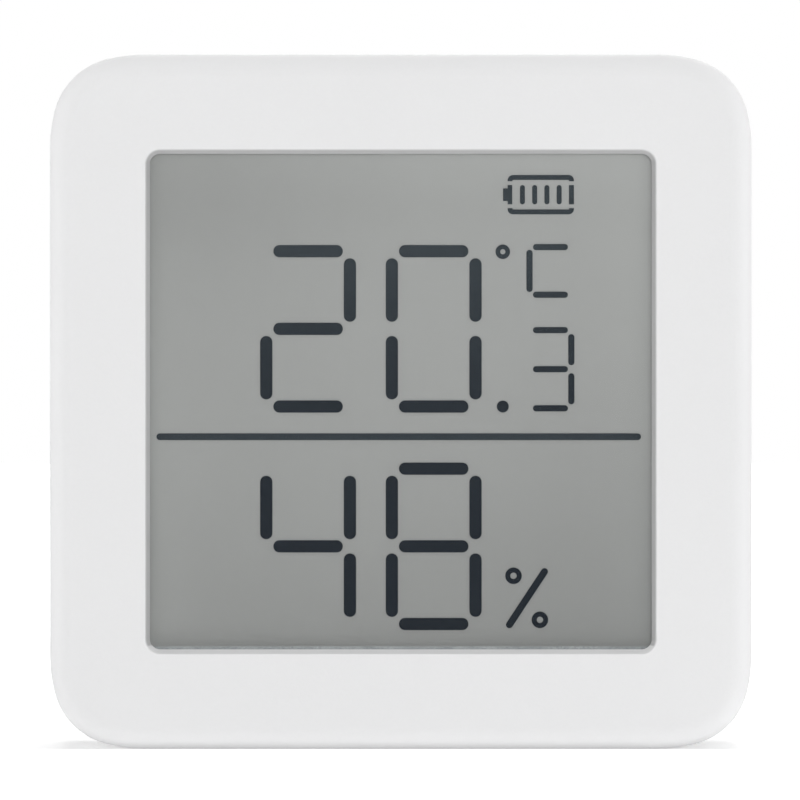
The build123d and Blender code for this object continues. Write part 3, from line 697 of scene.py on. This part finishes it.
    def front_face(self, shape):
        """Face nearest the viewer, the smallest where several lie at one depth."""
        flat = [face for face in shape.faces if abs(face.normal.y) > 0.9]
        nearest = min(face.calc_center_median().y for face in flat)
        level = [face for face in flat if face.calc_center_median().y < nearest + level_tolerance]
        return min(level, key=lambda face: face.calc_area())


class CLIMATE_OT_holder(bpy.types.Operator):
    """Finish the display holder and the battery chassis in white plastic"""

    bl_idname = "climate.holder"
    bl_label = "Holder and chassis"

    def execute(self, context):
        inner = moulded_plastic("inner_plastic", (0.72, 0.72, 0.71), 0.0003, 0.000012, 0.52)
        smooth_copy("battery_chassis", inner, "casing")
        coat_node("display_holder", inner)
        return {"FINISHED"}


class CLIMATE_OT_board(bpy.types.Operator):
    """Finish the circuit board, its tracks and the antenna"""

    bl_idname = "climate.board"
    bl_label = "Circuit board"

    def execute(self, context):
        chosen = context.scene.climate_board
        mask = Finish("solder_mask")
        copper = self.track_share(mask)
        vias = mask.cells(0.0031) < 0.10
        weave = mask.noise(0.0004, 2, (1, 1, 3))
        threads = mask.between(weave, 0.3, 0.7, 0.0, 0.25)
        tint = mask.mix(copper, chosen.mask_colour, shade(chosen.mask_colour, 1.7))
        tint = mask.mix(threads, tint, shade(chosen.mask_colour, 0.5))
        mask.surface(
            base_color=mask.mix(vias, tint, (0.55, 0.56, 0.55)),
            metallic=vias * 0.9,
            roughness=mask.between(weave + copper * 0.4, 0.3, 1.0, 0.24, 0.38),
        )
        mask.bump(copper + vias * 0.5 + weave * 0.2, 0.00003)
        coat_node("main_board", mask)
        coat_node("antenna", steel("gold_plating", chosen.plating_colour, 0.32))
        return {"FINISHED"}

    def track_share(self, mask):
        """Bundles of copper lines, level or upright by patches, and broad ground areas."""
        patch_size, line_pitch = 0.0075, 0.0008
        patch = mask.node(
            "ShaderNodeTexVoronoi", {"distance": "CHEBYCHEV"},
            {"Vector": mask.place, "Scale": 1 / patch_size, "Randomness": 0.9}, "Color",
        )
        turn, bundle, area = (
            mask.node("ShaderNodeSeparateColor", None, (patch,), channel) for channel in range(3)
        )
        upright = turn > 0.5
        across, up = mask.axis("x"), mask.axis("z")
        place = (up + upright * (across - up)) * (1 / line_pitch)
        lines = (place.zigzag(0.5) > 0.35) * (bundle > 0.3)
        ground = area > 0.72
        return lines + ground * (1 - lines)


class CLIMATE_OT_chips(bpy.types.Operator):
    """Finish the chips, the crystal, the small parts and the humidity sensor"""

    bl_idname = "climate.chips"
    bl_label = "Chips"

    def execute(self, context):
        black = (0.022, 0.022, 0.024)
        coat_node("radio_chip", epoxy("chip_compound", black, 0.52))
        coat_node("driver_chip", epoxy(
            "driver_compound", black, 0.52, spot=self.leads,
            spot_colour=(0.66, 0.66, 0.65), spot_metal=1.0,
        ))
        coat_node("crystal", steel("crystal_can", (0.62, 0.62, 0.60), 0.26, (1, 1, 12)))
        coat_node("board_passives", epoxy("ceramic", (0.36, 0.27, 0.18), 0.55, 0.0001))
        coat_node("humidity_sensor", epoxy(
            "sensor_compound", (0.03, 0.03, 0.033), 0.5, 0.0001, spot=self.membrane,
            spot_colour=(0.75, 0.75, 0.73),
        ))
        coat_node("sensor_foam", foam("sensor_foam", (0.035, 0.035, 0.038)))
        return {"FINISHED"}

    def leads(self, finish):
        """Spot of the driver chip's bare leads, at both sides of its body."""
        lead_reach = 0.00098
        low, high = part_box("driver_chip")
        middle, body_half = (low.x + high.x) / 2, (high.x - low.x) / 2 - lead_reach
        return abs(finish.axis("x") - middle) > body_half

    def membrane(self, finish):
        """Spot of the round pale membrane over the humidity sensor's port."""
        radius_share = 0.24
        low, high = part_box("humidity_sensor")
        middle = (low + high) / 2
        across, up = finish.axis("x") - middle.x, finish.axis("z") - middle.z
        return across * across + up * up < (radius_share * (high.x - low.x)) ** 2


class CLIMATE_OT_solder(bpy.types.Operator):
    """Add the soldered ends of the small parts"""

    bl_idname = "climate.solder"
    bl_label = "Soldered ends"

    def execute(self, context):
        cap_share, lift, bevel, touch = 0.24, 0.00002, 0.00005, 1e-5
        tin = steel("tin", (0.70, 0.70, 0.69), 0.24)
        board_low, board_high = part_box("main_board")
        ends = bmesh.new()
        for low, high in solid_boxes("board_passives"):
            long = 0 if high.x - low.x > high.z - low.z else 2
            length = high[long] - low[long]
            cap = cap_share * length
            for start, end in ((0, cap), (length - cap, length)):
                first = Vector([part - lift for part in low])
                last = Vector([part + lift for part in high])
                first[long] = low[long] + start - lift
                last[long] = low[long] + end + lift
                if low.y >= board_high.y - touch:
                    first.y = max(first.y, board_high.y)
                if high.y <= board_low.y + touch:
                    last.y = min(last.y, board_low.y)
                add_block(ends, first, last, bevel)
        finished_piece("soldered_ends", ends, tin, "casing", block_crease)
        return {"FINISHED"}


class CLIMATE_OT_switch(bpy.types.Operator):
    """Finish the push switch"""

    bl_idname = "climate.switch"
    bl_label = "Push switch"

    def execute(self, context):
        coat_node("switch_body", epoxy("switch_nylon", (0.05, 0.05, 0.052), 0.42))
        plunger = moulded_plastic("plunger_plastic", (0.62, 0.60, 0.55), 0.0001)
        coat_node("switch_plunger", plunger)
        return {"FINISHED"}


class CLIMATE_OT_cells(bpy.types.Operator):
    """Finish the two cells and their jackets"""

    bl_idname = "climate.cells"
    bl_label = "Cells"

    def execute(self, context):
        chosen = context.scene.climate_cells
        can = steel("cell_can", chosen.steel_colour, 0.27, (1, 6, 6))
        coat_node("lower_cell", can)
        coat_node("upper_cell", can)
        coat_node("cell_jackets", self.sleeve(chosen))
        return {"FINISHED"}

    def sleeve(self, chosen):
        """Glossy sleeve with a pale band and ring at each cell's positive end."""
        band_start, ring_middle, ring_half = 0.80, 0.775, 0.008
        sleeve = Finish("cell_sleeve")
        low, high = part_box("cell_jackets")
        upper = sleeve.axis("z") > (low.z + high.z) / 2
        along = sleeve.between(sleeve.axis("x"), low.x, high.x)
        towards_positive = along + upper * (1 - along * 2)
        band = towards_positive > band_start
        ring = abs(towards_positive - ring_middle) < ring_half
        sheen = sleeve.noise(0.012, 1, (0.4, 1, 1))
        tone = sleeve.between(sheen, 0.1, 0.9)
        tint = sleeve.mix(tone, chosen.jacket_colour, shade(chosen.jacket_colour, 1.2))
        tint = sleeve.mix(band, tint, chosen.band_colour)
        tint = sleeve.mix(ring, tint, chosen.band_colour)
        sleeve.surface(
            base_color=tint,
            roughness=sleeve.between(sheen, 0.1, 0.9, 0.22, 0.34),
            coat_weight=0.35,
        )
        sleeve.bump(sheen, 0.00002)
        return sleeve


class CLIMATE_OT_contacts(bpy.types.Operator):
    """Finish the contact plates and springs"""

    bl_idname = "climate.contacts"
    bl_label = "Contacts"

    def execute(self, context):
        colour = context.scene.climate_cells.steel_colour
        plate = steel("contact_plate", colour, 0.3, (1, 1, 9))
        for name in ("positive_contact", "negative_contact", "bridge_contact"):
            coat_node(name, plate)
        wire = steel("spring_wire", shade(colour, 1.08), 0.22)
        smooth_copy("contact_springs", wire, "casing", wire_crease)
        return {"FINISHED"}


class CLIMATE_OT_screws(bpy.types.Operator):
    """Finish the screws"""

    bl_idname = "climate.screws"
    bl_label = "Screws"

    def execute(self, context):
        zinc = steel("screw_zinc", (0.50, 0.51, 0.52), 0.3)
        coat_node("board_screws", zinc)
        coat_node("case_screws", zinc)
        return {"FINISHED"}


class CLIMATE_OT_stage(bpy.types.Operator):
    """Set the floor, the white surroundings, the soft lamps and the camera"""

    bl_idname = "climate.stage"
    bl_label = "Stage"

    # Name, place from the casing's middle, size, and the setting that holds the level
    soft_lamps = (
        ("key_lamp", (0.05, -1.3, 0.02), 0.3, "key"),
        ("upper_lamp", (0.05, -0.26, 1.4), 0.8, "upper"),
        ("top_lamp", (0.0, -0.03, 1.35), 0.8, "top"),
        ("back_lamp", (0.2, 1.0, 0.90), 0.8, "back"),
        ("left_lamp", (-0.78, 0.08, 0.08), 0.5, "side"),
        ("right_lamp", (0.78, 0.08, 0.08), 0.5, "side"),
    )

    def execute(self, context):
        chosen = context.scene.climate_stage
        context.scene.view_settings.view_transform = "Standard"
        self.floor(chosen)
        self.surroundings(chosen)
        middle = Vector((0, 0, middle_height))
        for name, place, size, level in self.soft_lamps:
            self.lamp(name, middle, middle + Vector(place), size, getattr(chosen, level))
        self.camera(chosen)
        return {"FINISHED"}

    def floor(self, chosen):
        """Ground plane that shows white, keeps the shadow and lights the casing's foot softly."""
        shape = bmesh.new()
        bmesh.ops.create_grid(shape, x_segments=1, y_segments=1, size=4.0)
        data = bpy.data.meshes.new("floor")
        shape.to_mesh(data)
        shape.free()
        ground = bpy.data.objects.new("floor", data)
        bpy.context.scene.collection.objects.link(ground)
        material = bpy.data.materials.new("floor_paper")
        paper = Graph(material, "ShaderNodeOutputMaterial")
        diffuse = paper.node("ShaderNodeBsdfDiffuse", None, {"Color": (0.93, 0.93, 0.93)})
        place = paper.node("ShaderNodeTexCoord", output="Object")
        away = paper.node("ShaderNodeVectorMath", {"operation": "LENGTH"}, (place,), "Value")
        near, far, near_level = 0.10, 0.40, 0.30
        shown = paper.between(away, near, far, near_level)
        seen = paper.seen_by("Camera", "Glossy")
        strength = paper.between(seen, 0.0, 1.0, chosen.table, shown)
        glow = paper.node("ShaderNodeEmission", None, {"Strength": strength})
        paper.show(paper.node("ShaderNodeAddShader", None, (diffuse, glow)))
        data.materials.append(material)

    def surroundings(self, chosen):
        """Even fill light, seen as plain white."""
        world = bpy.data.worlds.new("surroundings")
        bpy.context.scene.world = world
        air = Graph(world, "ShaderNodeOutputWorld")
        seen = air.seen_by("Camera", "Glossy", "Transmission")
        strength = air.between(seen, 0.0, 1.0, chosen.fill)
        light = {"Color": (1.0, 1.0, 1.0), "Strength": strength}
        air.show(air.node("ShaderNodeBackground", None, light))

    def lamp(self, name, target, place, size, level):
        """Soft square lamp; its level is the brightness it gives a white face turned to it."""
        data = bpy.data.lights.new(name, "AREA")
        data.shape = "SQUARE"
        data.size = size
        reach = (place - target).length
        data.energy = level * math.pi ** 2 * (reach ** 2 + size ** 2 / 4)
        made = bpy.data.objects.new(name, data)
        made.location = place
        made.rotation_euler = (target - place).to_track_quat("-Z", "Y").to_euler()
        bpy.context.scene.collection.objects.link(made)

    def camera(self, chosen):
        """Long lens straight in front of the casing, a pixel or two off its middle."""
        picture_pixels, aside, up, sensor = 800, -0.8, 1.6, 36
        data = bpy.data.cameras.new("camera")
        data.sensor_width = sensor
        data.sensor_height = sensor
        data.lens = sensor * chosen.distance / chosen.frame_width
        data.clip_start = 0.01
        data.clip_end = 20
        made = bpy.data.objects.new("camera", data)
        pixel = chosen.frame_width / picture_pixels
        depth = casing_low.y - chosen.distance
        made.location = (aside * pixel, depth, middle_height + up * pixel)
        made.rotation_euler = (math.pi / 2, 0, 0)
        bpy.context.scene.collection.objects.link(made)
        bpy.context.scene.camera = made


class CLIMATE_PT_pieces(bpy.types.Panel):
    """Panel of the climate display"""

    bl_idname = "CLIMATE_PT_pieces"
    bl_label = "Climate display"
    bl_space_type = "VIEW_3D"
    bl_region_type = "UI"
    bl_category = "Climate display"

    def draw(self, context):
        for group in setting_groups:
            box = self.layout.box()
            settings = getattr(context.scene, "climate_" + group)
            for name in settings.__annotations__:
                box.prop(settings, name)
        for operator in piece_operators:
            self.layout.operator(operator.bl_idname)


setting_groups = {
    "casing": CasingSettings,
    "display": DisplaySettings,
    "board": BoardSettings,
    "cells": CellSettings,
    "stage": StageSettings,
}
piece_operators = (
    CLIMATE_OT_casing,
    CLIMATE_OT_button,
    CLIMATE_OT_display,
    CLIMATE_OT_holder,
    CLIMATE_OT_board,
    CLIMATE_OT_chips,
    CLIMATE_OT_solder,
    CLIMATE_OT_switch,
    CLIMATE_OT_cells,
    CLIMATE_OT_contacts,
    CLIMATE_OT_screws,
    CLIMATE_OT_stage,
)


def register():
    for kind in (*setting_groups.values(), *piece_operators, CLIMATE_PT_pieces):
        bpy.utils.register_class(kind)
    for name, kind in setting_groups.items():
        setattr(bpy.types.Scene, "climate_" + name, PointerProperty(type=kind))


def unregister():
    for name in setting_groups:
        delattr(bpy.types.Scene, "climate_" + name)
    for kind in (CLIMATE_PT_pieces, *piece_operators, *setting_groups.values()):
        bpy.utils.unregister_class(kind)


def main():
    register()
    for operator in piece_operators:
        call = getattr(bpy.ops.climate, operator.bl_idname.split(".")[1])
        call()
    bpy.context.view_layer.update()


if __name__ == "__main__":
    main()
